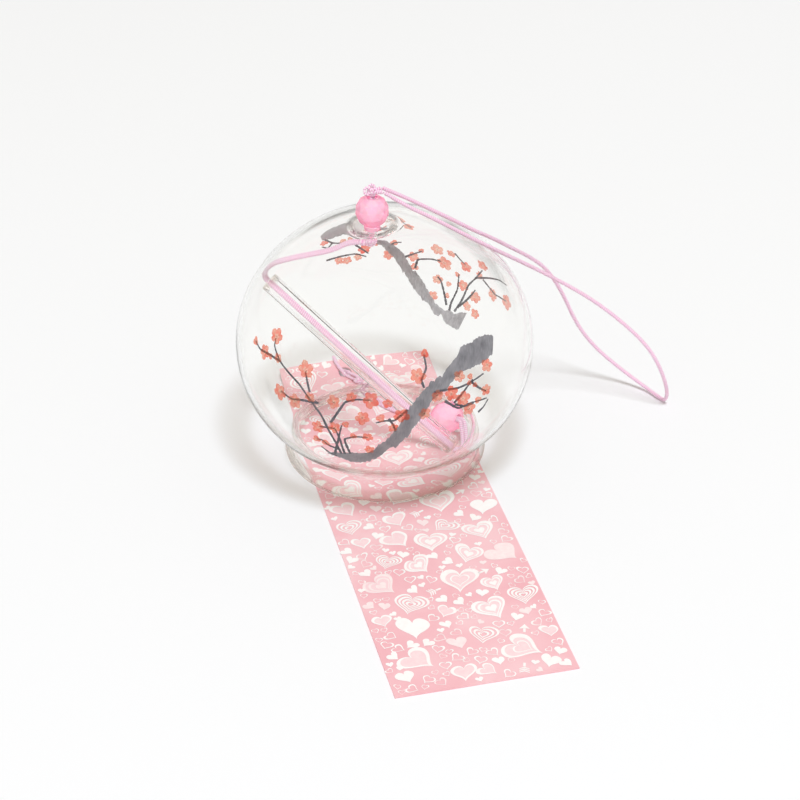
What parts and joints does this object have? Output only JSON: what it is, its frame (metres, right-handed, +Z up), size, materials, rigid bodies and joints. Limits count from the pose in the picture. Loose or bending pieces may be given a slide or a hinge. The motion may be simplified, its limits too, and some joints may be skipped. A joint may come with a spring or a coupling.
{
  "type": "furin wind bell",
  "caption": "Blown glass wind bell with painted plum branches, a glass tube clapper on a beaded cord, a hanging loop and a paper wind strip.",
  "frame": {"origin": "On the underside of the paper strip, below the middle of the globe's mouth as it stands on the strip.", "axes": "+Z up, -Y toward the front end of the strip, +X to the viewer's right, the side the hanging loop falls on."},
  "size_m": [0.1209, 0.154, 0.0835],
  "materials": {
    "bell_glass": "clear blown glass, hand painted",
    "tube_glass": "clear drawn glass, fire rounded ends",
    "pink_bead": "clear tinted acrylic, faceted",
    "pink_cord": "satin braid",
    "strip_paper": "printed card, matt"
  },
  "bodies": {
    "bell": {"glass_globe": "bell_glass", "bead_cord": "pink_cord", "stop_knot": "pink_cord", "upper_cord": "pink_cord", "foot_cord": "pink_cord", "strip_cord": "pink_cord"},
    "ring": {"seat_ring": "pink_bead"},
    "upper_bead": {"top_bead": "pink_bead"},
    "loop_knot": {"top_knot": "pink_cord"},
    "loop": {"hanging_loop": "pink_cord"},
    "clapper_line": {"tube_cord": "pink_cord"},
    "clapper_tube": {"glass_tube": "tube_glass"},
    "lower_bead": {"clapper_bead": "pink_bead"},
    "strip": {"paper_strip": "strip_paper", "strip_knot": "pink_cord", "strip_loop": "pink_cord"}
  },
  "joints": [
    {"name": "ring_spin", "type": "hinge", "parent": "bell", "child": "ring", "pos_m": [-0.0031, -0.00155, 0.0702], "axis": [0, -0.0227, 0.9997], "continuous": true},
    {"name": "bead_spin", "type": "hinge", "parent": "bell", "child": "upper_bead", "pos_m": [-0.0031, -0.00169, 0.07536], "axis": [0, -0.0227, 0.9997], "continuous": true},
    {"name": "loop_turn", "type": "hinge", "parent": "bell", "child": "loop_knot", "pos_m": [-0.0031, -0.00182, 0.08094], "axis": [0, -0.0227, 0.9997], "range_deg": [-40, 40]},
    {"name": "loop_lift", "type": "hinge", "parent": "loop_knot", "child": "loop", "pos_m": [-0.0005, -0.0012, 0.08175], "axis": [0.2617, -0.9422, -0.2094], "range_deg": [0, 100]},
    {"name": "clapper_lift", "type": "hinge", "parent": "bell", "child": "clapper_line", "pos_m": [0.019, -0.0048, 0.00242], "axis": [0.23, 0.9732, 0], "range_deg": [0, 20], "deforming": ["upper_cord"]},
    {"name": "clapper_spin", "type": "hinge", "parent": "clapper_line", "child": "clapper_tube", "pos_m": [0.019, -0.0048, 0.00242], "axis": [-0.7198, 0.1702, 0.673], "continuous": true},
    {"name": "clapper_bead_spin", "type": "hinge", "parent": "bell", "child": "lower_bead", "pos_m": [0.0175, 0.006, 0.00555], "axis": [0.7342, -0.6227, 0.2706], "continuous": true},
    {"name": "strip_turn", "type": "hinge", "parent": "bell", "child": "strip", "pos_m": [-0.008, 0.0305, 0.0016], "axis": [0, 0, 1], "range_deg": [-8, 8]}
  ]
}
